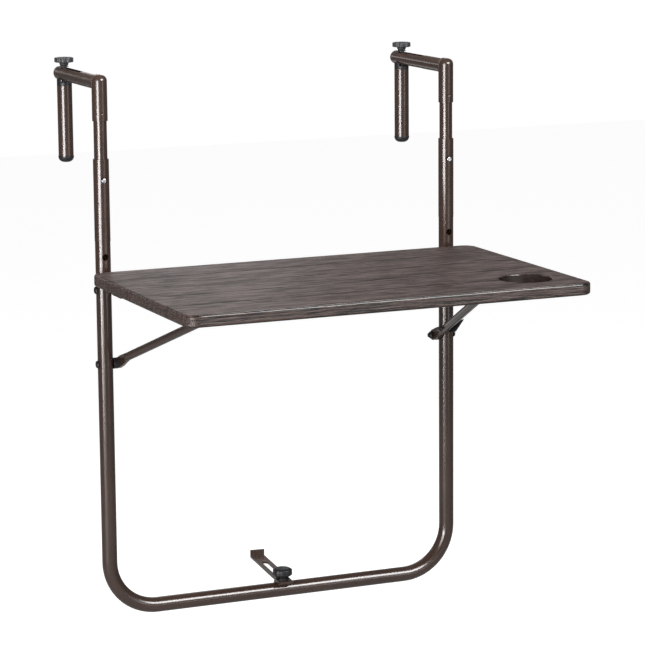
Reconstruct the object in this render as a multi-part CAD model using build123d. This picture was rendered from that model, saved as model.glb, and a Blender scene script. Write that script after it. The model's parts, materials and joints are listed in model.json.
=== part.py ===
from build123d import *
import os
from math import atan2, cos, degrees, hypot, radians, sin, sqrt

os.makedirs("parts", exist_ok=True)

# Folding table that hangs on a balcony railing, in millimetres.
# X runs to the right, Y away from the user and Z up. The origin is where the railing's top edge
# lies: midway between the hook arms, on the level of their underside, in the plane of the posts.

# U frame
POST_SPACING = 543.0
TUBE_D = 22.0
TUBE_WALL = 1.2
BEND_RADIUS = 72.0
SOCKET_D = 22.6
SOCKET_LENGTH = 118.0

# Heights along a post, each from the one before, downwards from the arm's underside
SLEEVE_DROP = 43.5
TUBE_SHOWING = 54.0
BUTTON_DROP = 30.2
HOLE_PITCH = 110.0
HINGE_DROP = 48.3
BRACE_DROP = 108.0
BAR_DROP = 366.0

# Inner tube
INNER_D = 19.0
INNER_WALL = 1.2
INNER_TAIL = 32.0
SLEEVE_OVERLAP = 37.0

# Hook arm
ARM_D = 20.4
ARM_LENGTH = 174.0
CROWN_RISE = 1.0
ARM_DOME = 8.0
ARM_CAP_LENGTH = 6.0
ARM_CAP_EDGE = 5.6
SPIGOT_LENGTH = 12.0
SPIGOT_GAP = 0.1
CRIMP_D = 6.0
CRIMP_DEPTH = 1.0
CRIMP_RISE = 10.5

# Snap button
BUTTON_D = 7.6
BUTTON_PROUD = 2.2
BUTTON_EDGE = 1.6
BUTTON_PLAY = 0.4
FRAME_HOLE_PLAY = 0.9
LEAF_T = 0.8
LEAF_WIDTH = 8.0
LEAF_LENGTH = 44.0
LEAF_GAP = 0.4

# Finger
FINGER_INSET = 18.0
FINGER_TRAVEL = 80.0
FINGER_FOOT = 110.0
SADDLE_HEIGHT = 6.8
SADDLE_EAR = 3.0
SADDLE_CHANNEL = 15.0
SADDLE_CHANNEL_DEPTH = 1.8
CAP_HEIGHT = 9.0
CAP_EDGE = 8.0
CAP_D = 22.8
STUD_D = 8.0
STUD_TAIL = 22.0

# Knobs
WASHER_D = 13.5
WASHER_T = 0.8
KNOB_D = 28.0
KNOB_HEAD = 7.0
KNOB_CONE = 1.7
KNOB_NECK = 4.0
KNOB_NECK_D = 13.4
KNOB_FOOT_D = 10.0
BIG_KNOB_D = 29.0
BIG_KNOB_HEAD = 10.0
BIG_KNOB_CONE = 2.0
BIG_KNOB_NECK = 3.3
BIG_KNOB_NECK_D = 15.0
BIG_KNOB_FOOT_D = 14.0
KNOB_LOBES = 8
FLUTE_D = 6.0
FLUTE_DEPTH = 1.7
KNOB_EDGE = 1.0
STUD_IN_KNOB = 6.5

# Bolts at the posts
BOLT_D = 6.0
BOLT_HEAD_D = 11.0
BOLT_HEAD_H = 2.8
BOLT_HEAD_EDGE = 2.2
BOLT_TAIL = 1.5
NUT_ACROSS = 10.0
NUT_H = 5.0
HINGE_SPACER = 2.5
HINGE_SPACER_D = 14.0
BRACE_SPACER = 7.0
BRACE_SPACER_D = 16.0

# Tabletop
TABLE_WIDTH = 600.0
TABLE_DEPTH = 388.0
TABLE_T = 17.0
TABLE_CORNER = 20.0
TABLE_EDGE = 3.5
HINGE_OFFSET = 13.0
REAR_GAP = 26.0
PLANKS = 5
GROOVE_WIDTH = 2.2
GROOVE_DEPTH = 0.9
GROOVE_INSET = 13.0
CUP_D = 74.0
CUP_DEPTH = 12.0
CUP_SIDE_INSET = 70.0
CUP_FRONT_INSET = 74.0
CUP_EDGE = 2.0
CUP_WALL = 3.0
TOP_SKIN = 4.0
SKIRT = 9.0
RIB = 3.0
RIB_COLUMNS = 8

# Hinge bracket
EAR_T = 3.0
EAR_R = 9.0
FLANGE_LENGTH = 46.0
FLANGE_WIDTH = 34.0
FLANGE_START = 34.0
PAD_MARGIN = 3.0
SCREW_D = 4.0
SCREW_HEAD_D = 8.0
SCREW_HEAD_H = 2.0
SCREW_LENGTH = 8.0
SCREW_INSET = 9.0

# Brace
BRACE_REACH = 274.0
BRACE_LEAN = 40.0
BRACE_D = 12.0
BRACE_WALL = 1.0
BLADE_T = 5.0
BLADE_WIDTH = 15.5
BLADE_LENGTH = 16.0
TAPER = 26.0
TIP_WIDTH = 12.0
PIN_D = 5.0
PIN_LENGTH = 16.0
DRAIN_D = 3.0

# Brace catch
CATCH_DROP = 10.0
CHEEK_T = 3.0
CHEEK_GAP = 1.5
CHEEK_FRONT = 9.0
CHEEK_BACK = 12.0
CHEEK_LIP = 4.0
CATCH_PLATE_T = 3.0
CATCH_PLATE_LENGTH = 56.0
CATCH_SLOT_SLOPE = 25.0

# Latch plate on the right brace, with places along the brace from its pivot
LATCH_T = 1.8
LATCH_START = 38.0
LATCH_BOLT = 48.0
LATCH_BELLY = 60.0
LATCH_POINT = 94.0
LATCH_DROP = 9.0
LATCH_RISE = 6.0
LATCH_TIP_RISE = 2.0
LATCH_BOLT_D = 4.0
LATCH_HEAD_D = 9.0
LATCH_HEAD_H = 2.4
LATCH_HEAD_EDGE = 1.6

# Lower clamp
CLAMP_TURN = 6.6
CLAMP_WIDTH = 21.7
CLAMP_T = 3.0
CLAMP_BEND = 2.4
CLAMP_BACK = 143.0
CLAMP_FRONT = 21.0
CLAMP_LIP = 12.0
CLAMP_TRAVEL = 95.0
CLAMP_SLOT_FRONT = 2.0
CLAMP_SADDLE_T = 2.0
CLAMP_SADDLE_DEPTH = 16.0
CLAMP_SADDLE_DROP = 3.0
CLAMP_SADDLE_EDGE = 3.0
CLAMP_STUD_DROP = 6.0
RIVET_NUT_D = 12.0
RIVET_NUT_LENGTH = 14.0
RIVET_COLLAR_D = 15.0
RIVET_COLLAR_H = 3.0

# Clearances
FLAT_GAP = 0.1
ROUND_GAP = 0.3
PIN_GAP = 0.08
STUD_GAP = 0.5
OVERRUN = 5.0

# Sizes worked out from the above
TUBE_R = TUBE_D / 2
BORE_R = TUBE_R - TUBE_WALL
ARM_R = ARM_D / 2
ARM_BORE_R = ARM_R - TUBE_WALL
INNER_R = INNER_D / 2
INNER_BORE_R = INNER_R - INNER_WALL
POST_X = POST_SPACING / 2
FRAME_TOP = -SLEEVE_DROP - TUBE_SHOWING
BUTTON_Z = FRAME_TOP - BUTTON_DROP
SPARE_HOLE_Z = BUTTON_Z - HOLE_PITCH
HINGE_Z = SPARE_HOLE_Z - HINGE_DROP
BRACE_Z = HINGE_Z - BRACE_DROP
BAR_Z = BRACE_Z - BAR_DROP
POST_FACE = POST_X - TUBE_R
POST_OUTSIDE = POST_X + TUBE_R
FINGER_REACH = ARM_LENGTH - FINGER_INSET
TABLE_BOTTOM = HINGE_Z + HINGE_OFFSET
TABLE_TOP = TABLE_BOTTOM + TABLE_T
TABLE_REAR = -REAR_GAP
TABLE_FRONT = TABLE_REAR - TABLE_DEPTH
BRACE_X = POST_FACE - BRACE_SPACER - FLAT_GAP - BLADE_T / 2
TIP_X = BRACE_X - BRACE_LEAN
TIP_Z = TABLE_BOTTOM - CATCH_DROP
BRACE_RISE = TIP_Z - BRACE_Z
BRACE_LENGTH = hypot(BRACE_REACH, BRACE_RISE)
BRACE_ANGLE = atan2(BRACE_RISE, BRACE_REACH)
EAR_X = POST_FACE - HINGE_SPACER - FLAT_GAP - EAR_T
SADDLE_TOP = BAR_Z + TUBE_R + CLAMP_SADDLE_T


def box(x0, x1, y0, y1, z0, z1):
    """A block between two corners."""
    return Pos((x0 + x1) / 2, (y0 + y1) / 2, (z0 + z1) / 2) * Box(abs(x1 - x0), abs(y1 - y0), abs(z1 - z0))


def rod(start, direction, length, radius):
    """A round bar from a point along a direction."""
    return Solid.make_cylinder(radius, length, Plane(origin=start, z_dir=direction))


def ring(start, direction, length, radius, bore):
    """A round bar with a hole along it."""
    return rod(start, direction, length, radius) - rod(start, direction, length, bore)


def on_side(shape, sign):
    """What is modelled on the right is mirrored for the left."""
    return shape if sign > 0 else mirror(shape, about=Plane.YZ)


def save(name, shape):
    solids = shape.solids()
    print(name, len(solids), round(sum(solid.volume for solid in solids), 1))
    export_step(solids[0] if len(solids) == 1 else shape, f"parts/{name}.step")


# Frame
def frame_path():
    corners = [(-POST_X, 0, FRAME_TOP), (-POST_X, 0, BAR_Z), (POST_X, 0, BAR_Z), (POST_X, 0, FRAME_TOP)]
    return FilletPolyline(*corners, radius=BEND_RADIUS)


def main_frame():
    path = frame_path()
    start = Plane(origin=(-POST_X, 0, FRAME_TOP), z_dir=(0, 0, -1))
    tube = sweep(start * Circle(TUBE_R), path=path)
    for sign in (-1, 1):
        tube += rod((sign * POST_X, 0, FRAME_TOP), (0, 0, -1), SOCKET_LENGTH, SOCKET_D / 2)
    tube -= sweep(start * Circle(BORE_R), path=path)
    hole_r = BUTTON_D / 2 + FRAME_HOLE_PLAY
    for sign in (-1, 1):
        x = sign * POST_X
        for z in (BUTTON_Z, SPARE_HOLE_Z):
            tube -= rod((x, 0, z), (0, -1, 0), TUBE_D, hole_r)
        for z in (HINGE_Z, BRACE_Z):
            tube -= rod((x - TUBE_D, 0, z), (1, 0, 0), 2 * TUBE_D, BOLT_D / 2 + PIN_GAP)
    tube -= rod((0, 0, BAR_Z), (0, 0, 1), TUBE_D, RIVET_NUT_D / 2 + PIN_GAP)
    return tube


def cross_bolt(z, inner_stack, sign):
    """A domed bolt through a post, its head outside."""
    head = rod((POST_OUTSIDE, 0, z), (1, 0, 0), BOLT_HEAD_H, BOLT_HEAD_D / 2)
    rim = head.edges().filter_by(GeomType.CIRCLE).sort_by(Axis.X)[-1]
    head = fillet(rim, BOLT_HEAD_EDGE)
    length = TUBE_D + inner_stack + NUT_H + BOLT_TAIL
    bolt = head + rod((POST_OUTSIDE, 0, z), (-1, 0, 0), length, BOLT_D / 2)
    return on_side(bolt, sign)


def hex_nut(x, z, sign):
    """A nut whose outer face is at x."""
    plane = Plane(origin=(x, 0, z), z_dir=(-1, 0, 0))
    body = extrude(plane * RegularPolygon(NUT_ACROSS / 2, 6, major_radius=False), amount=NUT_H)
    body -= rod((x, 0, z), (-1, 0, 0), NUT_H, BOLT_D / 2)
    return on_side(body, sign)


def spacer(z, length, diameter, sign):
    start = (POST_FACE, 0, z)
    return on_side(ring(start, (-1, 0, 0), length, diameter / 2, BOLT_D / 2 + PIN_GAP), sign)


# Hooks
def hook_tube(sign):
    sleeve = rod((POST_X, 0, -SLEEVE_DROP), (0, 0, 1), SLEEVE_DROP + ARM_D + CROWN_RISE, TUBE_R)
    crown = sleeve.edges().filter_by(GeomType.CIRCLE).sort_by(Axis.Z)[-1]
    tube = fillet(crown, ARM_DOME)
    tube += rod((POST_X, 0, ARM_R), (0, 1, 0), ARM_LENGTH, ARM_R)
    tube -= rod((POST_X, 0, -SLEEVE_DROP), (0, 0, 1), SLEEVE_DROP + ARM_R, BORE_R)
    tube -= rod((POST_X, 0, ARM_R), (0, 1, 0), ARM_LENGTH, ARM_BORE_R)
    slot_width = STUD_D + 2 * STUD_GAP
    middle = FINGER_REACH - FINGER_TRAVEL / 2
    plane = Plane(origin=(POST_X, middle, -TUBE_R), x_dir=(0, 1, 0), z_dir=(0, 0, 1))
    slot = plane * SlotCenterToCenter(FINGER_TRAVEL, slot_width)
    tube -= extrude(slot, amount=2 * TUBE_D)
    dent_y = -TUBE_R - CRIMP_D / 2 + CRIMP_DEPTH
    tube -= Pos(POST_X, dent_y, CRIMP_RISE - SLEEVE_DROP) * Sphere(CRIMP_D / 2)
    return on_side(tube, sign)


def inner_tube(sign):
    top = SLEEVE_OVERLAP - SLEEVE_DROP
    bottom = BUTTON_Z - INNER_TAIL
    tube = ring((POST_X, 0, bottom), (0, 0, 1), top - bottom, INNER_R, INNER_BORE_R)
    tube -= rod((POST_X, 0, BUTTON_Z), (0, -1, 0), INNER_D, BUTTON_D / 2 + BUTTON_PLAY)
    return on_side(tube, sign)


def arm_cap(sign):
    cap = rod((POST_X, ARM_LENGTH, ARM_R), (0, 1, 0), ARM_CAP_LENGTH, ARM_R)
    rim = cap.edges().filter_by(GeomType.CIRCLE).sort_by(Axis.Y)[-1]
    cap = fillet(rim, ARM_CAP_EDGE)
    free = ARM_LENGTH - FINGER_REACH - STUD_D / 2 - 2 * STUD_GAP
    reach = min(SPIGOT_LENGTH, free)
    cap += rod((POST_X, ARM_LENGTH, ARM_R), (0, -1, 0), reach, ARM_BORE_R - SPIGOT_GAP)
    return on_side(cap, sign)


# Snap buttons
LEAF_LOW = BUTTON_Z - INNER_TAIL + LEAF_GAP
LEAF_Y = sqrt((INNER_BORE_R - LEAF_GAP) ** 2 - (LEAF_WIDTH / 2) ** 2)


def snap_button(sign):
    """The front leaf inside the inner tube, with its button through both tubes."""
    half = LEAF_WIDTH / 2
    front = -LEAF_Y
    low = LEAF_LOW + LEAF_T + LEAF_GAP
    leaf = box(POST_X - half, POST_X + half, front, front + LEAF_T, low, LEAF_LOW + LEAF_LENGTH)
    tip = -TUBE_R - BUTTON_PROUD
    button = rod((POST_X, front, BUTTON_Z), (0, -1, 0), front - tip, BUTTON_D / 2)
    rim = button.edges().filter_by(GeomType.CIRCLE).sort_by(Axis.Y)[0]
    return on_side(fillet(rim, BUTTON_EDGE) + leaf, sign)


def snap_leaf(sign):
    """The rear leaf and the foot that the front leaf springs on."""
    half = LEAF_WIDTH / 2
    back = LEAF_Y - LEAF_T
    leaf = box(POST_X - half, POST_X + half, back, LEAF_Y, LEAF_LOW, LEAF_LOW + LEAF_LENGTH)
    leaf += box(POST_X - half, POST_X + half, -LEAF_Y, back, LEAF_LOW, LEAF_LOW + LEAF_T)
    return on_side(leaf, sign)


# Fingers
def finger_tube(sign):
    top = -SADDLE_HEIGHT
    bottom = -FINGER_FOOT
    return on_side(ring((POST_X, FINGER_REACH, bottom), (0, 0, 1), top - bottom, TUBE_R, BORE_R), sign)


def finger_saddle(sign):
    """Plug whose ears lie beside the arm; the clamp stud screws into it."""
    axis = (POST_X, FINGER_REACH, -SADDLE_HEIGHT)
    plug = rod(axis, (0, 0, 1), SADDLE_HEIGHT + SADDLE_EAR, TUBE_R)
    arm = rod((POST_X, FINGER_REACH - TUBE_D, ARM_R), (0, 1, 0), 2 * TUBE_D, ARM_R + ROUND_GAP)
    plug -= arm
    half = SADDLE_CHANNEL / 2
    plug -= box(POST_X - half, POST_X + half, FINGER_REACH - TUBE_D, FINGER_REACH + TUBE_D,
                -SADDLE_CHANNEL_DEPTH, TUBE_D)
    plug += rod(axis, (0, 0, -1), SPIGOT_LENGTH + STUD_D, BORE_R - SPIGOT_GAP)
    plug -= rod((POST_X, FINGER_REACH, TUBE_R), (0, 0, -1), 2 * FINGER_FOOT, STUD_D / 2 + PIN_GAP)
    return on_side(plug, sign)


def finger_cap(sign):
    axis = (POST_X, FINGER_REACH, -FINGER_FOOT)
    cap = rod(axis, (0, 0, -1), CAP_HEIGHT, CAP_D / 2)
    rim = cap.edges().filter_by(GeomType.CIRCLE).sort_by(Axis.Z)[0]
    cap = fillet(rim, CAP_EDGE)
    cap += rod(axis, (0, 0, 1), SPIGOT_LENGTH, BORE_R - SPIGOT_GAP)
    return on_side(cap, sign)


# Knobs
def knob(foot, diameter, foot_d, neck_d, neck, cone, head):
    """A fluted knob that stands on a point, with a blind hole for its stud."""
    x, y, z = foot
    body = Solid.make_cone(foot_d / 2, neck_d / 2, neck, Plane(origin=foot))
    shoulder = diameter / 2 - FLUTE_DEPTH
    body += Solid.make_cone(neck_d / 2, shoulder, cone, Plane(origin=(x, y, z + neck)))
    disc = rod((x, y, z + neck + cone), (0, 0, 1), head, diameter / 2)
    flute_ring = diameter / 2 + FLUTE_D / 2 - FLUTE_DEPTH
    for step in range(KNOB_LOBES):
        angle = radians(360 * step / KNOB_LOBES)
        place = (x + flute_ring * cos(angle), y + flute_ring * sin(angle), z + neck + cone)
        disc -= rod(place, (0, 0, 1), head, FLUTE_D / 2)
    top = disc.faces().sort_by(Axis.Z)[-1]
    body += fillet(top.edges(), KNOB_EDGE)
    body -= rod((x, y, z), (0, 0, 1), STUD_IN_KNOB, STUD_D / 2)
    return body


ARM_KNOB_FOOT = ARM_D + ROUND_GAP + WASHER_T


def arm_knob(sign):
    foot = (POST_X, FINGER_REACH, ARM_KNOB_FOOT)
    return on_side(knob(foot, KNOB_D, KNOB_FOOT_D, KNOB_NECK_D, KNOB_NECK, KNOB_CONE, KNOB_HEAD), sign)


def arm_stud(sign):
    top = ARM_KNOB_FOOT + STUD_IN_KNOB
    bottom = -SADDLE_HEIGHT - STUD_TAIL
    return on_side(rod((POST_X, FINGER_REACH, bottom), (0, 0, 1), top - bottom, STUD_D / 2), sign)


def arm_washer(sign):
    start = (POST_X, FINGER_REACH, ARM_KNOB_FOOT - WASHER_T)
    return on_side(ring(start, (0, 0, 1), WASHER_T, WASHER_D / 2, STUD_D / 2 + PIN_GAP), sign)


# Tabletop
def rib_pockets():
    """The cells between the ribs of the underside, open downwards."""
    column = (TABLE_WIDTH - 2 * SKIRT + RIB) / RIB_COLUMNS
    plank = TABLE_DEPTH / PLANKS
    ceiling = TABLE_TOP - TOP_SKIN
    cells = []
    for row in range(PLANKS):
        y1 = TABLE_REAR - row * plank - (SKIRT if row == 0 else RIB / 2)
        y0 = TABLE_REAR - (row + 1) * plank + (SKIRT if row == PLANKS - 1 else RIB / 2)
        for place in range(RIB_COLUMNS):
            x0 = -TABLE_WIDTH / 2 + SKIRT + place * column
            cells.append(box(x0, x0 + column - RIB, y0, y1, TABLE_BOTTOM - OVERRUN, ceiling))
    return cells


def table_pads():
    """What stays solid under the fittings and round the cup recess."""
    tall = (TABLE_BOTTOM - OVERRUN, TABLE_TOP)
    pads = []
    for sign in (-1, 1):
        inner = sign * (EAR_X + EAR_T - FLANGE_WIDTH - PAD_MARGIN)
        outer = sign * (EAR_X + EAR_T + PAD_MARGIN)
        rear = -FLANGE_START + PAD_MARGIN
        pads.append(box(inner, outer, rear - FLANGE_LENGTH - 2 * PAD_MARGIN, rear, *tall))
        half = catch_half_width() + PAD_MARGIN
        reach = CATCH_PLATE_LENGTH / 2 + PAD_MARGIN
        x, y = sign * TIP_X, -BRACE_REACH
        pads.append(box(x - half, x + half, y - reach, y + reach, *tall))
    cup_x, cup_y = cup_centre()
    foot = (cup_x, cup_y, TABLE_BOTTOM - OVERRUN)
    pads.append(rod(foot, (0, 0, 1), TABLE_T + OVERRUN, CUP_D / 2 + CUP_WALL))
    return pads


def cup_centre():
    return TABLE_WIDTH / 2 - CUP_SIDE_INSET, TABLE_FRONT + CUP_FRONT_INSET


def catch_half_width():
    return BLADE_T / 2 + CHEEK_GAP + CHEEK_T + PAD_MARGIN / 3


def tabletop():
    middle = (TABLE_REAR + TABLE_FRONT) / 2
    plane = Plane(origin=(0, middle, TABLE_BOTTOM))
    slab = extrude(plane * RectangleRounded(TABLE_WIDTH, TABLE_DEPTH, TABLE_CORNER), amount=TABLE_T)
    slab = fillet(slab.faces().sort_by(Axis.Z)[-1].edges(), TABLE_EDGE)
    slab = fillet(slab.faces().sort_by(Axis.Z)[0].edges(), TABLE_EDGE)
    cup_x, cup_y = cup_centre()
    slab -= rod((cup_x, cup_y, TABLE_TOP - CUP_DEPTH), (0, 0, 1), CUP_DEPTH + OVERRUN, CUP_D / 2)
    rim = slab.faces().sort_by(Axis.Z)[-1].inner_wires()[0]
    slab = fillet(rim.edges(), CUP_EDGE)
    pads = table_pads()
    for cell in rib_pockets():
        for pad in pads:
            cell = cell - pad
        slab -= cell
    plank = TABLE_DEPTH / PLANKS
    half = TABLE_WIDTH / 2 - GROOVE_INSET
    for row in range(1, PLANKS):
        y = TABLE_REAR - row * plank
        slab -= box(-half, half, y - GROOVE_WIDTH / 2, y + GROOVE_WIDTH / 2,
                    TABLE_TOP - GROOVE_DEPTH, TABLE_TOP + OVERRUN)
    for x, y in bracket_screws() + catch_screws():
        slab -= rod((x, y, TABLE_BOTTOM), (0, 0, 1), SCREW_LENGTH, SCREW_D / 2)
    return slab


def bracket_screws(sides=(-1, 1)):
    x = EAR_X + EAR_T - FLANGE_WIDTH + SCREW_INSET
    front = -FLANGE_START - FLANGE_LENGTH + SCREW_INSET
    return [(sign * x, y) for sign in sides for y in (-FLANGE_START - SCREW_INSET, front)]


def catch_screws(sides=(-1, 1)):
    reach = CATCH_PLATE_LENGTH / 2 - SCREW_INSET / 2 - SCREW_D / 2
    return [(sign * TIP_X, -BRACE_REACH + step * reach) for sign in sides for step in (1, -1)]


def screw(x, y, plate):
    """A pan-head screw up through a plate into the tabletop."""
    seat = TABLE_BOTTOM - plate
    body = rod((x, y, seat), (0, 0, 1), plate + SCREW_LENGTH, SCREW_D / 2)
    return body + rod((x, y, seat), (0, 0, -1), SCREW_HEAD_H, SCREW_HEAD_D / 2)


def hinge_bracket(sign):
    """An ear on the hinge bolt and a flange under the tabletop."""
    start = -FLANGE_START
    end = start - FLANGE_LENGTH
    flange = box(EAR_X + EAR_T - FLANGE_WIDTH, EAR_X + EAR_T, end, start, TABLE_BOTTOM - EAR_T, TABLE_BOTTOM)
    plane = Plane(origin=(EAR_X, 0, 0), x_dir=(0, 1, 0), z_dir=(1, 0, 0))
    low = HINGE_Z - EAR_R
    shape = Polyline((0, low), (start, low), (end, TABLE_BOTTOM - EAR_T), (end, TABLE_BOTTOM),
                     (start + EAR_T, TABLE_BOTTOM), (0, HINGE_Z + EAR_R), close=True)
    ear = extrude(plane * make_face(shape), amount=EAR_T)
    ear += rod((EAR_X, 0, HINGE_Z), (1, 0, 0), EAR_T, EAR_R)
    ear -= rod((EAR_X, 0, HINGE_Z), (1, 0, 0), EAR_T, BOLT_D / 2 + PIN_GAP)
    bracket = flange + ear
    for x, y in bracket_screws((1,)):
        bracket -= rod((x, y, TABLE_BOTTOM), (0, 0, -1), EAR_T, SCREW_D / 2 + PIN_GAP)
    return on_side(bracket, sign)


def brace_catch(sign):
    """Two cheeks under the tabletop; their slots open forwards and down for the brace's pin."""
    half = catch_half_width()
    reach = CATCH_PLATE_LENGTH / 2
    seat = TABLE_BOTTOM - CATCH_PLATE_T
    catch = box(TIP_X - half, TIP_X + half, -BRACE_REACH - reach, -BRACE_REACH + reach, seat, TABLE_BOTTOM)
    slot_half = PIN_D / 2 + STUD_GAP
    low = TIP_Z - slot_half - CHEEK_LIP
    for side in (-1, 1):
        x = TIP_X + side * (BLADE_T / 2 + CHEEK_GAP + CHEEK_T / 2)
        catch += box(x - CHEEK_T / 2, x + CHEEK_T / 2, -BRACE_REACH - CHEEK_FRONT, -BRACE_REACH + CHEEK_BACK,
                     low, seat)
    slope = radians(CATCH_SLOT_SLOPE)
    start = (TIP_X - half, -BRACE_REACH, TIP_Z)
    out = Plane(origin=start, x_dir=(0, -cos(slope), -sin(slope)), z_dir=(1, 0, 0))
    length = 2 * CHEEK_FRONT + OVERRUN
    channel = out * Pos(length / 2, 0) * Rectangle(length, 2 * slot_half)
    catch -= extrude(channel, amount=2 * half)
    catch -= rod((TIP_X - half, -BRACE_REACH, TIP_Z), (1, 0, 0), 2 * half, slot_half)
    for x, y in catch_screws((1,)):
        catch -= rod((x, y, TABLE_BOTTOM), (0, 0, -1), CATCH_PLATE_T, SCREW_D / 2 + PIN_GAP)
    return on_side(catch, sign)


# Braces
def brace_plane(along, inward):
    """A section plane across the right brace, a distance along it."""
    back, rise = cos(BRACE_ANGLE), sin(BRACE_ANGLE)
    origin = (BRACE_X - inward, -along * back, BRACE_Z + along * rise)
    return Plane(origin=origin, x_dir=(1, 0, 0), z_dir=(0, -back, rise))


def brace_tube(sign):
    """A tube with a flat blade at each end, leaning inwards between them."""
    first = BLADE_LENGTH + TAPER
    last = BRACE_LENGTH - first
    foot = brace_plane(0, 0)
    tip = brace_plane(BRACE_LENGTH, BRACE_LEAN)
    near, far = brace_plane(first, 0), brace_plane(last, BRACE_LEAN)
    tube = loft([near * Circle(BRACE_D / 2), far * Circle(BRACE_D / 2)])
    blade = brace_plane(BLADE_LENGTH, 0) * Rectangle(BLADE_T, BLADE_WIDTH)
    tube += loft([blade, near * Circle(BRACE_D / 2)])
    blade = brace_plane(BRACE_LENGTH - BLADE_LENGTH, BRACE_LEAN) * Rectangle(BLADE_T, TIP_WIDTH)
    tube += loft([far * Circle(BRACE_D / 2), blade])
    tube += extrude(foot * Rectangle(BLADE_T, BLADE_WIDTH), amount=BLADE_LENGTH)
    tube += extrude(tip * Rectangle(BLADE_T, TIP_WIDTH), amount=-BLADE_LENGTH)
    tube += rod((BRACE_X - BLADE_T / 2, 0, BRACE_Z), (1, 0, 0), BLADE_T, BLADE_WIDTH / 2)
    tube += rod((TIP_X - BLADE_T / 2, -BRACE_REACH, TIP_Z), (1, 0, 0), BLADE_T, TIP_WIDTH / 2)
    bore = BRACE_D / 2 - BRACE_WALL
    tube -= loft([near * Circle(bore), far * Circle(bore)])
    drain = brace_plane(last - BRACE_D, lean_at(last - BRACE_D))
    below = drain.y_dir * -1
    tube -= rod(drain.origin, below, BRACE_D, DRAIN_D / 2)
    tube -= rod((BRACE_X - BLADE_T, 0, BRACE_Z), (1, 0, 0), 2 * BLADE_T, BOLT_D / 2 + PIN_GAP)
    tube -= rod((TIP_X - BLADE_T, -BRACE_REACH, TIP_Z), (1, 0, 0), 2 * BLADE_T, PIN_D / 2)
    if sign > 0:
        start = (latch_plane(BRACE_X + BRACE_D) * Pos(LATCH_BOLT, 0)).position
        tube -= rod(start, (-1, 0, 0), 2 * BRACE_D, LATCH_BOLT_D / 2)
    return on_side(tube, sign)


def brace_pin(sign):
    start = (TIP_X - PIN_LENGTH / 2, -BRACE_REACH, TIP_Z)
    return on_side(rod(start, (1, 0, 0), PIN_LENGTH, PIN_D / 2), sign)


def lean_at(along):
    """How far the brace's tube has leaned inwards, a distance along it."""
    first = BLADE_LENGTH + TAPER
    return BRACE_LEAN * (along - first) / (BRACE_LENGTH - 2 * first)


def latch_plane(x):
    """The brace's side plane: x along the brace, y across it."""
    back, rise = cos(BRACE_ANGLE), sin(BRACE_ANGLE)
    return Plane(origin=(x, 0, BRACE_Z), x_dir=(0, -back, rise), z_dir=(-1, 0, 0))


LATCH_X = BRACE_X - lean_at(LATCH_START) + BRACE_D / 2 + FLAT_GAP


def latch_plate():
    """A pointed black plate on the outer side of the right brace."""
    plane = latch_plane(LATCH_X + LATCH_T)
    outline = Polyline((LATCH_START, -LATCH_RISE), (LATCH_BELLY, -LATCH_DROP), (LATCH_POINT, LATCH_TIP_RISE),
                       (LATCH_BELLY, LATCH_RISE), (LATCH_START, LATCH_RISE), close=True)
    plate = extrude(plane * make_face(outline), amount=LATCH_T)
    hole = plane * Pos(LATCH_BOLT, 0) * Circle(LATCH_BOLT_D / 2)
    return plate - extrude(hole, amount=LATCH_T)


def latch_bolt():
    """A domed bolt through the brace that holds the latch plate."""
    outer = LATCH_X + LATCH_T
    inner = BRACE_X - lean_at(LATCH_BOLT + LATCH_HEAD_D) - BRACE_D / 2
    place = latch_plane(outer) * Pos(LATCH_BOLT, 0)
    start = place.position
    shank = rod(start, (-1, 0, 0), outer - inner, LATCH_BOLT_D / 2)
    head = rod((inner, start.Y, start.Z), (-1, 0, 0), LATCH_HEAD_H, LATCH_HEAD_D / 2)
    rim = head.edges().filter_by(GeomType.CIRCLE).sort_by(Axis.X)[0]
    return shank + fillet(rim, LATCH_HEAD_EDGE)


# Lower clamp
def clamp_saddle():
    """A block over the bottom bar, flat on top, that the bracket lies on."""
    half = CLAMP_WIDTH / 2
    depth = CLAMP_SADDLE_DEPTH / 2
    low = BAR_Z + TUBE_R - CLAMP_SADDLE_DROP
    block = box(-half, half, -depth, depth, low, SADDLE_TOP)
    block = fillet(block.edges().filter_by(Axis.X).group_by(Axis.Z)[-1], CLAMP_SADDLE_EDGE / 2)
    block -= rod((-CLAMP_WIDTH, 0, BAR_Z), (1, 0, 0), 2 * CLAMP_WIDTH, TUBE_R)
    block -= rod((0, 0, BAR_Z), (0, 0, 1), TUBE_D, STUD_D / 2 + STUD_GAP)
    return block


def rivet_nut():
    """A threaded insert in the bar's top wall, with its collar set inside the tube."""
    top = BAR_Z + (TUBE_R ** 2 - (RIVET_NUT_D / 2) ** 2) ** 0.5 - FLAT_GAP
    nut = rod((0, 0, top), (0, 0, -1), RIVET_NUT_LENGTH, RIVET_NUT_D / 2)
    ceiling = BAR_Z + (BORE_R ** 2 - (RIVET_COLLAR_D / 2) ** 2) ** 0.5
    nut += rod((0, 0, ceiling), (0, 0, -1), RIVET_COLLAR_H, RIVET_COLLAR_D / 2)
    nut -= rod((0, 0, BAR_Z - TUBE_D), (0, 0, 1), 2 * TUBE_D, STUD_D / 2 + PIN_GAP)
    return nut


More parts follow.
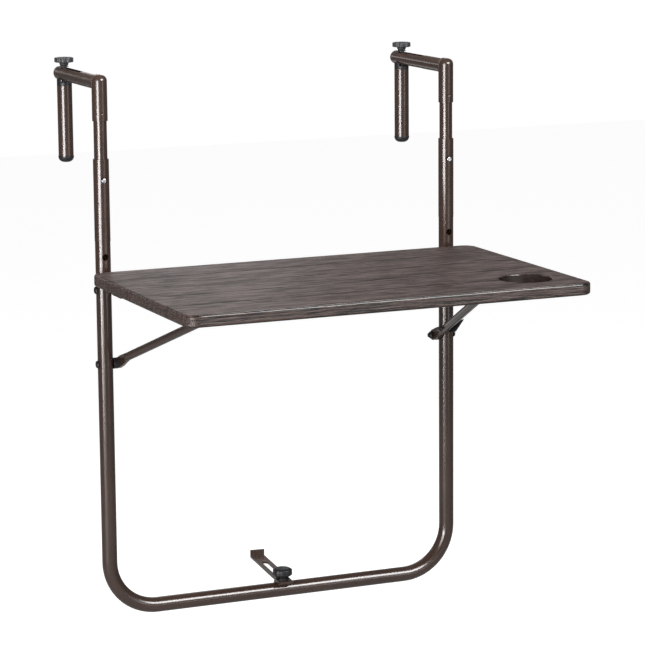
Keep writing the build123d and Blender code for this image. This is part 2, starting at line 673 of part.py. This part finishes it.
def clamp_bracket():
    """A slotted flat bar with its far end turned up."""
    z0 = SADDLE_TOP + FLAT_GAP
    z1 = z0 + CLAMP_T
    half = CLAMP_WIDTH / 2
    bar = box(-half, half, -CLAMP_FRONT, CLAMP_BACK, z0, z1)
    bar += box(-half, half, CLAMP_BACK - CLAMP_T, CLAMP_BACK, z0, z0 + CLAMP_LIP)
    outer = bar.edges().filter_by(Axis.X).group_by(Axis.Y)[-1].sort_by(Axis.Z)[0]
    bar = fillet(outer, CLAMP_BEND)
    middle = CLAMP_TRAVEL / 2
    slot = Plane(origin=(0, middle, z0), x_dir=(0, 1, 0), z_dir=(0, 0, 1))
    slot = slot * SlotCenterToCenter(CLAMP_TRAVEL + 2 * CLAMP_SLOT_FRONT, STUD_D + 2 * STUD_GAP)
    return Rot(0, 0, -CLAMP_TURN) * (bar - extrude(slot, amount=CLAMP_T))


CLAMP_TOP = SADDLE_TOP + 2 * FLAT_GAP + CLAMP_T
CLAMP_KNOB_FOOT = CLAMP_TOP + WASHER_T + FLAT_GAP


def clamp_washer():
    radius = CLAMP_WIDTH / 2 - WASHER_T
    return ring((0, 0, CLAMP_TOP), (0, 0, 1), WASHER_T, radius, STUD_D / 2 + ROUND_GAP)


def clamp_knob():
    foot = (0, 0, CLAMP_KNOB_FOOT)
    return knob(foot, BIG_KNOB_D, BIG_KNOB_FOOT_D, BIG_KNOB_NECK_D, BIG_KNOB_NECK, BIG_KNOB_CONE,
                BIG_KNOB_HEAD)


def clamp_stud():
    bottom = BAR_Z - CLAMP_STUD_DROP
    return rod((0, 0, bottom), (0, 0, 1), CLAMP_KNOB_FOOT + STUD_IN_KNOB - bottom, STUD_D / 2)


def export_all():
    save("main_frame", main_frame())
    hinge_stack = HINGE_SPACER + EAR_T + 2 * FLAT_GAP
    brace_stack = BRACE_SPACER + BLADE_T + 2 * FLAT_GAP
    for side, sign in (("left", -1), ("right", 1)):
        save(f"hinge_bolt_{side}", cross_bolt(HINGE_Z, hinge_stack, sign))
        save(f"hinge_nut_{side}", hex_nut(POST_FACE - hinge_stack, HINGE_Z, sign))
        save(f"hinge_spacer_{side}", spacer(HINGE_Z, HINGE_SPACER, HINGE_SPACER_D, sign))
        save(f"brace_bolt_{side}", cross_bolt(BRACE_Z, brace_stack, sign))
        save(f"brace_nut_{side}", hex_nut(POST_FACE - brace_stack, BRACE_Z, sign))
        save(f"brace_spacer_{side}", spacer(BRACE_Z, BRACE_SPACER, BRACE_SPACER_D, sign))
        save(f"hook_tube_{side}", hook_tube(sign))
        save(f"inner_tube_{side}", inner_tube(sign))
        save(f"arm_cap_{side}", arm_cap(sign))
        save(f"snap_button_{side}", snap_button(sign))
        save(f"snap_leaf_{side}", snap_leaf(sign))
        save(f"finger_tube_{side}", finger_tube(sign))
        save(f"finger_saddle_{side}", finger_saddle(sign))
        save(f"finger_cap_{side}", finger_cap(sign))
        save(f"arm_knob_{side}", arm_knob(sign))
        save(f"arm_stud_{side}", arm_stud(sign))
        save(f"arm_washer_{side}", arm_washer(sign))
        save(f"hinge_bracket_{side}", hinge_bracket(sign))
        save(f"brace_catch_{side}", brace_catch(sign))
        for number, (x, y) in enumerate(bracket_screws((sign,)), 1):
            save(f"bracket_screw_{side}_{number}", screw(x, y, EAR_T))
        for number, (x, y) in enumerate(catch_screws((sign,)), 1):
            save(f"catch_screw_{side}_{number}", screw(x, y, CATCH_PLATE_T))
        save(f"brace_tube_{side}", brace_tube(sign))
        save(f"brace_pin_{side}", brace_pin(sign))
    save("latch_plate", latch_plate())
    save("latch_bolt", latch_bolt())
    save("tabletop", tabletop())
    save("clamp_saddle", clamp_saddle())
    save("rivet_nut", rivet_nut())
    save("clamp_bracket", clamp_bracket())
    save("clamp_washer", clamp_washer())
    save("clamp_knob", clamp_knob())
    save("clamp_stud", clamp_stud())


export_all()
ratio = (radians(90) + BRACE_ANGLE) / radians(90)
print("brace angle", round(degrees(BRACE_ANGLE), 3))
print("fold ratio", round(ratio, 6))
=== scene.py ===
import json
from math import atan2, degrees, pi, radians, sqrt

import bpy
from mathutils import Euler, Matrix, Vector


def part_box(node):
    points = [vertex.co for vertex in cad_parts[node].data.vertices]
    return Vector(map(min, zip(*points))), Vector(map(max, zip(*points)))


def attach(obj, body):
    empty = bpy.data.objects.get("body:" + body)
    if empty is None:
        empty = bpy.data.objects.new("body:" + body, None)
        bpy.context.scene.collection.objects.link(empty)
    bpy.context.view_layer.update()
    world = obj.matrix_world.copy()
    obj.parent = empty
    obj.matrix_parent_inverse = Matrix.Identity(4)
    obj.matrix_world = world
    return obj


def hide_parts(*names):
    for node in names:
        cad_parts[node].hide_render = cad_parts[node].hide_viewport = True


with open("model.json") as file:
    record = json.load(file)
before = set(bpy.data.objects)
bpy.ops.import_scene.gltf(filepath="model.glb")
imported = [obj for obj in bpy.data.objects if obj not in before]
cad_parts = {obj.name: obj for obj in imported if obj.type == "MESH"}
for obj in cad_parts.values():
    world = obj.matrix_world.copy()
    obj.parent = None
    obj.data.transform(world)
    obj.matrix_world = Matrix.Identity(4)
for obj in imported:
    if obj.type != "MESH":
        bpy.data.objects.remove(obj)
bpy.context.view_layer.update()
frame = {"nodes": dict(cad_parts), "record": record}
nodes = frame["nodes"]
SIDES = {"left": -1, "right": 1}
MM = 0.001


# Shader building
class Signal:
    """A socket's output that takes part in sums."""

    def __init__(self, finish, socket):
        self.finish = finish
        self.socket = socket

    def math(self, operation, first, second):
        return self.finish.node("ShaderNodeMath", {"operation": operation}, {0: first, 1: second})

    def __add__(self, other):
        return self.math("ADD", self, other)

    def __sub__(self, other):
        return self.math("SUBTRACT", self, other)

    def __rsub__(self, other):
        return self.math("SUBTRACT", other, self)

    def __mul__(self, other):
        return self.math("MULTIPLY", self, other)

    def __pow__(self, other):
        return self.math("POWER", self, other)

    __radd__ = __add__


class Graph:
    """A node tree whose nodes are made by one method."""

    def __init__(self, tree):
        self.tree = tree

    def node(self, kind, settings, inputs, output=0):
        made = self.tree.nodes.new(kind)
        for key, value in settings.items():
            setattr(made, key, value)
        for socket, value in inputs.items():
            self.feed(made.inputs[socket], value)
        return Signal(self, made.outputs[output])

    def feed(self, socket, value):
        if isinstance(value, Signal):
            self.tree.links.new(value.socket, socket)
        else:
            socket.default_value = value


class Finish(Graph):
    """A material that is built on its principled shader."""

    def __init__(self, name, metallic=0.0, specular=0.5):
        self.material = bpy.data.materials.new(name)
        self.material.use_nodes = True
        super().__init__(self.material.node_tree)
        self.shader = self.tree.nodes["Principled BSDF"]
        self.set("Metallic", metallic)
        self.set("Specular IOR Level", specular)

    def place(self):
        return self.node("ShaderNodeTexCoord", {}, {}, "Object")

    def axes(self, vector):
        return [self.node("ShaderNodeSeparateXYZ", {}, {"Vector": vector}, axis) for axis in "XYZ"]

    def stretched(self, scale):
        return self.node("ShaderNodeMapping", {}, {"Vector": self.place(), "Scale": scale})

    def noise(self, scale, detail=2.0, roughness=0.5, stretch=(1, 1, 1)):
        inputs = {"Vector": self.stretched(stretch), "Scale": scale, "Detail": detail,
                  "Roughness": roughness}
        return self.node("ShaderNodeTexNoise", {}, inputs, "Fac")

    def between(self, value, low, high):
        inputs = {"Value": value, "From Min": low, "From Max": high}
        return self.node("ShaderNodeMapRange", {"interpolation_type": "SMOOTHSTEP"}, inputs)

    def mix(self, factor, first, second):
        inputs = {"Factor": factor, 6: first, 7: second}
        return self.node("ShaderNodeMix", {"data_type": "RGBA"}, inputs, 2)

    def soft_edges(self, radius):
        return self.node("ShaderNodeBevel", {"samples": 4}, {"Radius": radius}, "Normal")

    def bump(self, height, distance, strength=1.0, after=None):
        inputs = {"Height": height, "Distance": distance, "Strength": strength}
        if after:
            inputs["Normal"] = after
        return self.node("ShaderNodeBump", {}, inputs, "Normal")

    def set(self, socket, value):
        self.feed(self.shader.inputs[socket], value)


def rgba(r, g, b):
    return (r, g, b, 1.0)


# Finishes
CUP = next(mount for mount in frame["record"]["mounts"] if mount["name"] == "cup_holder")
CUP_X, CUP_Y = CUP["pos_m"][0], CUP["pos_m"][1]
CUP_RIM_R = CUP["dims"]["r_mm"] * MM + 2 * MM
TOP_LOW, TOP_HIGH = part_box("tabletop")
PLANKS = 5
PLANK_DEPTH = (TOP_HIGH.y - TOP_LOW.y) / PLANKS


def paint_finish():
    """Glossy dark brown powder coat, a little uneven in tone."""
    f = Finish("brown_powder_coat", specular=0.85)
    cloud = f.noise(9.0, 3.0)
    deep, pale = rgba(0.05, 0.0265, 0.0185), rgba(0.064, 0.0355, 0.026)
    f.set("Base Color", f.mix(f.between(cloud, 0.3, 0.7), deep, pale))
    f.set("Roughness", 0.205 + cloud * 0.02)
    return f.material


def plank_finish():
    """Dark brown moulded plastic, embossed with wood grain along X, plain underneath."""
    f = Finish("embossed_plank", specular=0.45)
    broad = f.noise(1.0, 2.0, 0.5, (5, 36, 36))
    streak = f.noise(1.0, 3.0, 0.6, (13, 190, 420))
    dash = f.noise(1.0, 2.0, 0.6, (34, 330, 700))
    fine = f.noise(1.0, 2.0, 0.5, (160, 1300, 1300))
    figure = streak * 0.5 + dash * 0.4 + fine * 0.1
    crest = f.between(figure, 0.46, 0.54)
    # Grain, then pale dashes and broad patches over it.
    base = f.mix(crest, rgba(0.02, 0.0125, 0.011), rgba(0.104, 0.072, 0.064))
    base = f.mix(f.between(dash, 0.6, 0.72) * 0.4, base, rgba(0.17, 0.13, 0.12))
    base = f.mix(f.between(broad, 0.35, 0.7) * 0.2, base, rgba(0.075, 0.054, 0.05))
    # Painted shade darkens the grooves between the planks; the cup recess is plain, and painted darker
    # as shade in the hollow.
    east, north, up = f.axes(f.place())
    planks_in = (north - TOP_HIGH.y) * (1 / PLANK_DEPTH)
    off_joint = f.node("ShaderNodeMath", {"operation": "PINGPONG"}, {0: planks_in, 1: 0.5})
    # Painted shade: a dark line along each groove between the planks.
    groove_shade = 1 - f.between(off_joint, 0.014, 0.045)
    base = f.mix(groove_shade * 0.8, base, rgba(0.006, 0.004, 0.0035))
    reach = ((east - CUP_X) ** 2 + (north - CUP_Y) ** 2) ** 0.5
    inside = 1 - f.between(reach, CUP_RIM_R - 0.5 * MM, CUP_RIM_R)
    cup = inside * (1 - f.between(up, TOP_HIGH.z - 1.2 * MM, TOP_HIGH.z - 0.4 * MM))
    # The cup recess has no grain and a darker colour; the darkness is painted shade in the hollow.
    base = f.mix(cup, base, rgba(0.03, 0.02, 0.017))
    # Smoother rim and corners, a painted sheen of lighter warm streaks on the sides, and a plain
    # underside, all told by the normal.
    east, north, up = f.axes(f.node("ShaderNodeTexCoord", {}, {}, "Normal"))
    rim = f.between(up, 0.05, 0.2) - f.between(up, 0.8, 0.97)
    corner = f.between((east * north) ** 2, 0.05, 0.2)
    painted_side_sheen = (1 - f.between(up ** 2, 0.1, 0.4)) * (1 - cup)
    under = 1 - f.between(up, -0.9, -0.6)
    # Painted sheen: lighter warm brown along the grain crests on the side faces.
    base = f.mix(painted_side_sheen * crest * 0.45, base, rgba(0.16, 0.1, 0.08))
    f.set("Base Color", f.mix(under, base, rgba(0.04, 0.027, 0.023)))
    f.set("Roughness", 0.43 - crest * 0.08 + fine * 0.1 - rim * 0.28 - corner * 0.2)
    relief = figure * (1 - rim * 0.8) * (1 - cup) * (1 - under)
    f.set("Normal", f.bump(relief, 1.6 * MM))
    return f.material


def plastic_finish(name, colour, worn, roughness):
    """Moulded plastic with a fine spark-eroded texture."""
    f = Finish(name)
    cloud = f.noise(45.0, 4.0)
    grain = f.noise(1600.0, 2.0)
    f.set("Base Color", f.mix(f.between(cloud, 0.45, 0.75) * 0.5, rgba(*colour), rgba(*worn)))
    f.set("Roughness", roughness - 0.06 + cloud * 0.12)
    f.set("Normal", f.bump(grain, 0.05 * MM, 0.6, f.soft_edges(0.5 * MM)))
    return f.material


def steel_finish(name, light, dark, roughness):
    """Plated steel with a faint spangle and fine turning marks."""
    f = Finish(name, metallic=1.0)
    spangle = f.noise(420.0, 3.0)
    marks = f.noise(1.0, 2.0, 0.5, (3000, 3000, 500))
    f.set("Base Color", f.mix(f.between(spangle, 0.3, 0.7), rgba(*dark), rgba(*light)))
    f.set("Roughness", roughness - 0.06 + spangle * 0.12)
    f.set("Normal", f.bump(marks, 0.03 * MM, 0.5, f.soft_edges(0.4 * MM)))
    return f.material


paint = paint_finish()
plank = plank_finish()
black = plastic_finish("black_moulding", (0.014, 0.014, 0.017), (0.03, 0.03, 0.034), 0.4)
grey = plastic_finish("dark_grey_moulding", (0.05, 0.05, 0.055), (0.085, 0.085, 0.09), 0.42)
zinc = steel_finish("zinc_plate", (0.7, 0.7, 0.71), (0.5, 0.5, 0.52), 0.3)
dark_steel = steel_finish("blackened_steel", (0.09, 0.09, 0.095), (0.05, 0.05, 0.055), 0.5)
finish_of = {"frame_paint": paint, "table_plastic": plank, "black_plastic": black, "grey_plastic": grey,
             "zinc": zinc, "dark_steel": dark_steel}
slot_of = {part["node"]: part["material_slot"] for part in frame["record"]["subparts"]}
bodies = frame["record"]["behaviour"]["bodies"]
body_of = {node: body for body, members in bodies.items() for node in members}

for node, slot in slot_of.items():
    is_stud = node.endswith("stud") or "_stud_" in node
    mesh = nodes[node].data
    mesh.materials.clear()
    mesh.materials.append(dark_steel if is_stud else finish_of[slot])


# Modelling
def release():
    if bpy.context.mode != "OBJECT":
        bpy.ops.object.mode_set(mode="OBJECT")
    bpy.ops.object.select_all(action="DESELECT")


def pick(*pieces):
    """The pieces are selected, the first of them active."""
    release()
    for piece in pieces:
        piece.select_set(True)
    bpy.context.view_layer.objects.active = pieces[0]


def open_with(piece, test, kind):
    """Edit mode with the faces or points selected whose place and normal pass a test."""
    pick(piece)
    mesh = piece.data
    for items in (mesh.vertices, mesh.edges, mesh.polygons):
        items.foreach_set("select", [False] * len(items))
    bpy.context.tool_settings.mesh_select_mode = (kind == "points", False, kind == "faces")
    if kind == "faces":
        for face in mesh.polygons:
            face.select = test(face.center, face.normal)
    else:
        for point in mesh.vertices:
            point.select = test(point.co, point.normal)
    bpy.ops.object.mode_set(mode="EDIT")


def cylinder(radius, low, high, sides):
    """A round bar along Z."""
    release()
    bpy.ops.mesh.primitive_cylinder_add(vertices=sides, radius=radius, depth=high - low,
                                        location=(0, 0, (low + high) / 2))
    bpy.ops.object.transform_apply(location=True, rotation=True, scale=True)
    return bpy.context.object


def change(piece, kind, **settings):
    """Adds a modifier and applies it."""
    pick(piece)
    bpy.ops.object.modifier_add(type=kind)
    modifier = piece.modifiers[-1]
    for key, value in settings.items():
        setattr(modifier, key, value)
    bpy.ops.object.modifier_apply(modifier=modifier.name)


def combine(piece, tool, operation):
    change(piece, "BOOLEAN", object=tool, operation=operation, solver="EXACT")
    bpy.data.objects.remove(tool)


def round_edges(piece, width, segments, angle):
    change(piece, "BEVEL", width=width, segments=segments, limit_method="ANGLE",
           angle_limit=radians(angle), harden_normals=False)


def copy_to(pattern, place, turn=Matrix.Identity(3)):
    twin = pattern.copy()
    twin.data = pattern.data.copy()
    bpy.context.scene.collection.objects.link(twin)
    twin.data.transform(Matrix.Translation(place) @ turn.to_4x4())
    return twin


def settle(piece, name, finish, body, stands_for=(), angle=30):
    pick(piece)
    bpy.ops.object.shade_smooth_by_angle(angle=radians(angle))
    piece.name = name
    piece.data.name = name
    piece.data.materials.clear()
    piece.data.materials.append(finish)
    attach(piece, body)
    if stands_for:
        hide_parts(*stands_for)


def settle_for(piece, node, name):
    """A piece that is shown in a CAD node's place."""
    settle(piece, name, finish_of[slot_of[node]], body_of[node], (node,))


# Knobs
LOBE_ANGLE = 45
DISC_SIDES = 96
# Each pair is an angle in degrees from a flute's middle and the share of the radius left there.
DEEP_FLUTE = ((0.0, 0.879), (3.75, 0.889), (7.5, 0.924), (11.25, 0.985))
SHALLOW_FLUTE = ((0.0, 0.945), (3.75, 0.952), (7.5, 0.97), (11.25, 0.99))
ARM_KNOB = {"radius": 13.9 * MM, "foot_r": 5.0 * MM, "neck_r": 6.7 * MM, "neck": 4 * MM,
            "cone": 1.7 * MM, "head": 6.9 * MM, "crown": 0.7 * MM, "brim": 0.9 * MM,
            "dish": 0.5 * MM, "flute": DEEP_FLUTE, "skirt": 0.6 * MM}
CLAMP_KNOB = {"radius": 14.4 * MM, "foot_r": 7 * MM, "neck_r": 7.5 * MM,
              "cone": 0.5 * MM, "head": 11.4 * MM, "crown": 2.2 * MM, "brim": 3.8 * MM,
              "dish": 0.4 * MM, "flute": SHALLOW_FLUTE, "skirt": 1.6 * MM}
CLAMP_KNOB_SPARE = 0.1 * MM
DISH_INSET, DISH_TAPER, HEAD_EDGE = 0.72, 0.86, 0.55 * MM
STEM_SIDES, STEM_STEP, STEM_WAIST, STEM_EDGE = 48, 0.6 * MM, 0.94, 0.35 * MM


def grow(rise, factor):
    """Extrudes the chosen face along Z and scales it about the axis."""
    bpy.ops.mesh.extrude_region_move(TRANSFORM_OT_translate={"value": (0, 0, rise)})
    bpy.ops.transform.resize(value=(factor, factor, 1), center_override=(0, 0, 0))


def lobed_head(radius, low, high, crown, brim, dish, flute, skirt):
    """A fluted disc with a chamfered crown, a shallow dish in its top and a tucked-in skirt."""
    head = cylinder(radius, low + skirt, high - crown, DISC_SIDES)
    half = LOBE_ANGLE / 2
    for away, factor in flute:
        def in_flute(place, normal):
            turn = abs((degrees(atan2(place.y, place.x)) + half) % LOBE_ANGLE - half)
            return abs(turn - away) < 0.6 and place.xy.length > radius * 0.98
        open_with(head, in_flute, "points")
        bpy.ops.transform.resize(value=(factor, factor, 1), center_override=(0, 0, 0))
    open_with(head, lambda place, normal: normal.z > 0.9, "faces")
    grow(crown, 1 - brim / radius)
    grow(0, DISH_INSET)
    grow(-dish, DISH_TAPER)
    open_with(head, lambda place, normal: normal.z < -0.9, "faces")
    grow(-skirt, 1 - skirt / radius)
    bpy.ops.object.mode_set(mode="OBJECT")
    round_edges(head, HEAD_EDGE, 3, 34)
    return head


def knob_stem(foot_r, neck_r, shoulder_r, neck, cone):
    """The neck, widening from its foot to the shoulder under the head."""
    stem = cylinder(foot_r, 0, STEM_STEP, STEM_SIDES)
    open_with(stem, lambda place, normal: normal.z > 0.9, "faces")
    grow(neck * 0.5 - STEM_STEP, neck_r * STEM_WAIST / foot_r)
    grow(neck * 0.5, 1 / STEM_WAIST)
    grow(cone + 0.2 * MM, shoulder_r / neck_r)
    bpy.ops.object.mode_set(mode="OBJECT")
    round_edges(stem, STEM_EDGE, 2, 20)
    return stem


def knob(radius, foot_r, neck_r, neck, cone, head, crown, brim, dish, flute, skirt):
    stem = knob_stem(foot_r, neck_r, neck_r * 1.16, neck, cone)
    disc = lobed_head(radius, neck + cone, neck + cone + head, crown, brim, dish, flute, skirt)
    pick(stem, disc)
    bpy.ops.object.join()
    return stem


def make_knobs():
    pattern = knob(**ARM_KNOB)
    for side in SIDES:
        node = f"arm_knob_{side}"
        low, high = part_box(node)
        foot = ((low.x + high.x) / 2, (low.y + high.y) / 2, low.z)
        settle_for(copy_to(pattern, foot), node, f"lobed_arm_knob_{side}")
    bpy.data.objects.remove(pattern)
    low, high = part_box("clamp_knob")
    neck = high.z - low.z - CLAMP_KNOB["cone"] - CLAMP_KNOB["head"] - CLAMP_KNOB_SPARE
    big = knob(neck=neck, **CLAMP_KNOB)
    settle_for(copy_to(big, (0, 0, low.z)), "clamp_knob", "lobed_clamp_knob")
    bpy.data.objects.remove(big)


# Nuts and screws
NUT_ACROSS, NUT_HEX, NUT_CHAMFER = 10 * MM, 3.7 * MM, 0.9 * MM
CORNER_KEPT, COLLAR_SHARE, COLLAR_SUNK = 0.985, 0.43, 0.3 * MM
SCREW_R, SCREW_HEAD, SCREW_RECESS = 4 * MM, 2 * MM, 1.2 * MM
# Each pair is a share of the head's height and the scale of the ring at its end.
PAN_STEPS = ((0.3, 0.92), (0.15, 0.8), (0.05, 0.6))
BLADE_LENGTH, BLADE_WIDTH, BLADE_TAPER = 1.05, 0.26, 0.55


def lock_nut(across, height, hex_height):
    """A chamfered hexagon with the round collar that holds its locking ring."""
    corner = across / sqrt(3)
    nut = cylinder(corner, 0, hex_height, 6)
    lens = cylinder(corner * CORNER_KEPT, -0.1 * MM, hex_height + 0.1 * MM, 72)
    round_edges(lens, NUT_CHAMFER, 1, 60)
    combine(nut, lens, "INTERSECT")
    collar = cylinder(across * COLLAR_SHARE, hex_height - COLLAR_SUNK, height, 48)
    open_with(collar, lambda place, normal: normal.z > 0.9, "faces")
    bpy.ops.mesh.bevel(offset=NUT_CHAMFER, segments=4, affect="EDGES")
    bpy.ops.object.mode_set(mode="OBJECT")
    pick(nut, collar)
    bpy.ops.object.join()
    return nut


def make_nuts():
    low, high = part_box("hinge_nut_right")
    pattern = lock_nut(NUT_ACROSS, high.x - low.x, NUT_HEX)
    for side, sign in SIDES.items():
        turn = Matrix.Rotation(radians(-90 * sign), 3, "Y")
        for joint in ("hinge", "brace"):
            node = f"{joint}_nut_{side}"
            low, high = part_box(node)
            outer = high.x if sign > 0 else low.x
            place = (outer, (low.y + high.y) / 2, (low.z + high.z) / 2)
            settle_for(copy_to(pattern, place, turn), node, f"lock_{node}")
    bpy.data.objects.remove(pattern)


def pan_screw(radius, height, recess):
    """A pan head that hangs down from the origin, with a cross recess."""
    head = cylinder(radius, -height * 0.5, 0, 40)
    open_with(head, lambda place, normal: normal.z < -0.9, "faces")
    for drop, factor in PAN_STEPS:
        grow(-height * drop, factor)
    bpy.ops.object.mode_set(mode="OBJECT")
    for turn in (0, 90):
        release()
        bpy.ops.mesh.primitive_cube_add(size=1, location=(0, 0, -height), rotation=(0, 0, radians(turn)))
        blade = bpy.context.object
        blade.scale = (radius * BLADE_LENGTH, radius * BLADE_WIDTH, recess * 2)
        bpy.ops.object.transform_apply(location=True, rotation=True, scale=True)
        open_with(blade, lambda place, normal: normal.z > 0.9, "faces")
        bpy.ops.transform.resize(value=(BLADE_TAPER, BLADE_TAPER, 1), center_override=(0, 0, 0))
        bpy.ops.object.mode_set(mode="OBJECT")
        combine(head, blade, "DIFFERENCE")
    return head


def make_screws():
    pattern = pan_screw(SCREW_R, SCREW_HEAD, SCREW_RECESS)
    for place in ("bracket", "catch"):
        for side, sign in SIDES.items():
            for number in (1, 2):
                node = f"{place}_screw_{side}_{number}"
                low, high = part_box(node)
                seat = ((low.x + high.x) / 2, (low.y + high.y) / 2, low.z + SCREW_HEAD)
                turn = Matrix.Rotation(radians(17 + 31 * number * sign), 3, "Z")
                settle_for(copy_to(pattern, seat, turn), node, f"pan_head_{node}")
    bpy.data.objects.remove(pattern)


# Welds
ARM_R, SLEEVE_R, ARM_LEVEL, CROWN_TOP, DOME = 10.2 * MM, 11 * MM, 10.2 * MM, 21.4 * MM, 8 * MM
ARM_REACH, SLEEVE_FOOT = 26 * MM, -8 * MM
BEAD_PROUD, BEAD_SUNK = 1.6 * MM, -0.5 * MM
BAR_SIDES = 128


def arm_bar(proud):
    bar = cylinder(ARM_R + proud, 0, ARM_REACH, BAR_SIDES)
    start = Matrix.Translation((0, min(0, proud), ARM_LEVEL))
    bar.data.transform(start @ Matrix.Rotation(radians(-90), 4, "X"))
    return bar


def sleeve_bar(proud):
    bar = cylinder(SLEEVE_R + proud, SLEEVE_FOOT, CROWN_TOP + proud, BAR_SIDES)
    open_with(bar, lambda place, normal: normal.z > 0.9, "faces")
    bpy.ops.mesh.bevel(offset=DOME + proud, segments=14, affect="EDGES")
    bpy.ops.object.mode_set(mode="OBJECT")
    return bar


def make_welds():
    """The bead that runs round the joint of arm and sleeve."""
    bead = arm_bar(BEAD_PROUD)
    combine(bead, sleeve_bar(BEAD_PROUD), "INTERSECT")
    combine(bead, arm_bar(BEAD_SUNK), "DIFFERENCE")
    combine(bead, sleeve_bar(BEAD_SUNK), "DIFFERENCE")
    change(bead, "REMESH", mode="VOXEL", voxel_size=0.3 * MM)
    change(bead, "SMOOTH", factor=0.5, iterations=6)
    for side in SIDES:
        low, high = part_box(f"hook_tube_{side}")
        weld = copy_to(bead, ((low.x + high.x) / 2, 0, 0))
        settle(weld, f"arm_weld_{side}", paint, f"hook_{side}", angle=80)
    bpy.data.objects.remove(bead)


make_knobs()
make_nuts()
make_screws()
make_welds()


# Studio
# Light levels of the floor and of the world, for the camera and for reflections.
FLOOR_SEEN, FLOOR_MIRRORED = 0.93, 0.1
WORLD_SEEN, WORLD_MIRRORED, WORLD_ALWAYS = 0.9, 0.04, 0.1

# Lamps that only reflections show: name, place, aim, width and height, radiance.
GLOSS_LAMPS = (
    ("key_box", (-3.4, -3.1, -0.65), (0, 0, -0.65), (2.0, 0.54), 20),
    ("key_top", (-3.4, -3.1, 0.35), (0, 0, 0.35), (2.0, 1.4), 7),
    ("corner_box", (-2.8, -1.35, -0.75), (-0.3, -0.38, -0.26), (0.5, 0.35), 30),
    ("side_strip", (1.5, -2.6, -0.1), (0, 0, -0.1), (0.5, 0.7), 2.6),
    ("edge_box", (0.95, -2.6, -0.72), (0, -0.4, -0.27), (0.9, 0.22), 3),
    ("bar_box", (0.95, -2.3, 1.15), (0, -0.2, -0.5), (1.7, 1.2), 15),
    ("arm_box", (-0.6, 1.9, 0.19), (0.27, 0, 0), (0.26, 0.24), 2.2),
    ("arm_foot_box", (0.07, 1.9, -0.83), (0.27, 0, 0), (0.3, 0.3), 0.7),
    ("rear_box", (0.42, 1.9, 0.27), (-0.2, -0.2, -0.25), (0.76, 0.5), 1.3),
    ("rear_wide_box", (1.15, 1.9, 0.15), (0.2, -0.2, -0.25), (0.8, 0.45), 0.35),
)
# Lamps that reflections do not show, with the same columns.
FILL_LAMPS = (
    ("rear_fill", (0.6, 3.4, 1.0), (0, 0, -0.3), (3.0, 2.0), 3),
    ("front_fill", (-0.9, -3.6, 0.9), (0, 0, -0.35), (3.0, 2.0), 4.5),
    ("left_fill", (-3.2, -1.5, 0.4), (0, 0, -0.3), (1.5, 2.0), 6),
    ("top_fill", (0, -0.5, 2.5), (0, -0.2, -0.3), (3.0, 3.0), 3.2),
)

# The camera, fitted to the photograph. Angles are in degrees, the lens in millimetres.
CAMERA_PLACE = (-1.5983, -3.8730, 0.4022)
CAMERA_DOWN, CAMERA_TURN, CAMERA_ROLL = 10.256, -23.287, -0.503
CAMERA_LENS, CAMERA_SENSOR = 161.56, 36.0


def pale_floor():
    bpy.ops.mesh.primitive_plane_add(size=16, location=(0, 2, -1.35))
    floor = bpy.context.object
    floor.name = "floor"
    f = Finish("pale_floor", specular=0.1)
    f.set("Roughness", 0.9)
    f.set("Base Color", f.mix(f.noise(3.0), rgba(0.3, 0.3, 0.3), rgba(0.33, 0.33, 0.33)))
    seen = f.node("ShaderNodeLightPath", {}, {}, "Is Camera Ray")
    mirrored = f.node("ShaderNodeLightPath", {}, {}, "Is Glossy Ray")
    f.set("Emission Color", rgba(1, 1, 1))
    f.set("Emission Strength", seen * FLOOR_SEEN + mirrored * FLOOR_MIRRORED)
    floor.data.materials.append(f.material)


def soft_box(name, place, aim, size, radiance, gloss):
    """An area lamp of a given size whose face has a given brightness, for gloss or for all else."""
    data = bpy.data.lights.new(name, "AREA")
    data.shape = "RECTANGLE"
    data.size, data.size_y = size
    data.energy = radiance * pi * size[0] * size[1]
    lamp = bpy.data.objects.new(name, data)
    lamp.location = place
    lamp.rotation_euler = (Vector(aim) - Vector(place)).to_track_quat("-Z", "Y").to_euler()
    lamp.visible_camera = False
    lamp.visible_glossy = gloss
    lamp.visible_diffuse = not gloss
    bpy.context.scene.collection.objects.link(lamp)


def studio_light():
    world = bpy.data.worlds.new("studio")
    bpy.context.scene.world = world
    world.use_nodes = True
    graph = Graph(world.node_tree)
    background = graph.tree.nodes["Background"]
    background.inputs["Color"].default_value = rgba(1, 1, 1)
    seen, through, mirrored = (graph.node("ShaderNodeLightPath", {}, {}, f"Is {ray} Ray")
                               for ray in ("Camera", "Transmission", "Glossy"))
    strength = (seen + through) * WORLD_SEEN + mirrored * WORLD_MIRRORED + WORLD_ALWAYS
    graph.feed(background.inputs["Strength"], strength)
    for name, place, aim, size, radiance in GLOSS_LAMPS:
        soft_box(name, place, aim, size, radiance, gloss=True)
    for name, place, aim, size, radiance in FILL_LAMPS:
        soft_box(name, place, aim, size, radiance, gloss=False)


def photo_camera():
    data = bpy.data.cameras.new("camera")
    data.sensor_width = CAMERA_SENSOR
    data.lens = CAMERA_LENS
    data.clip_end = 60.0
    camera = bpy.data.objects.new("camera", data)
    aim = Euler((radians(90 - CAMERA_DOWN), 0, radians(CAMERA_TURN))).to_matrix()
    aim = aim @ Matrix.Rotation(radians(CAMERA_ROLL), 3, "Z")
    camera.matrix_world = Matrix.Translation(CAMERA_PLACE) @ aim.to_4x4()
    bpy.context.scene.collection.objects.link(camera)
    bpy.context.scene.camera = camera


release()
pale_floor()
studio_light()
photo_camera()
bpy.context.scene.view_settings.view_transform = "Standard"
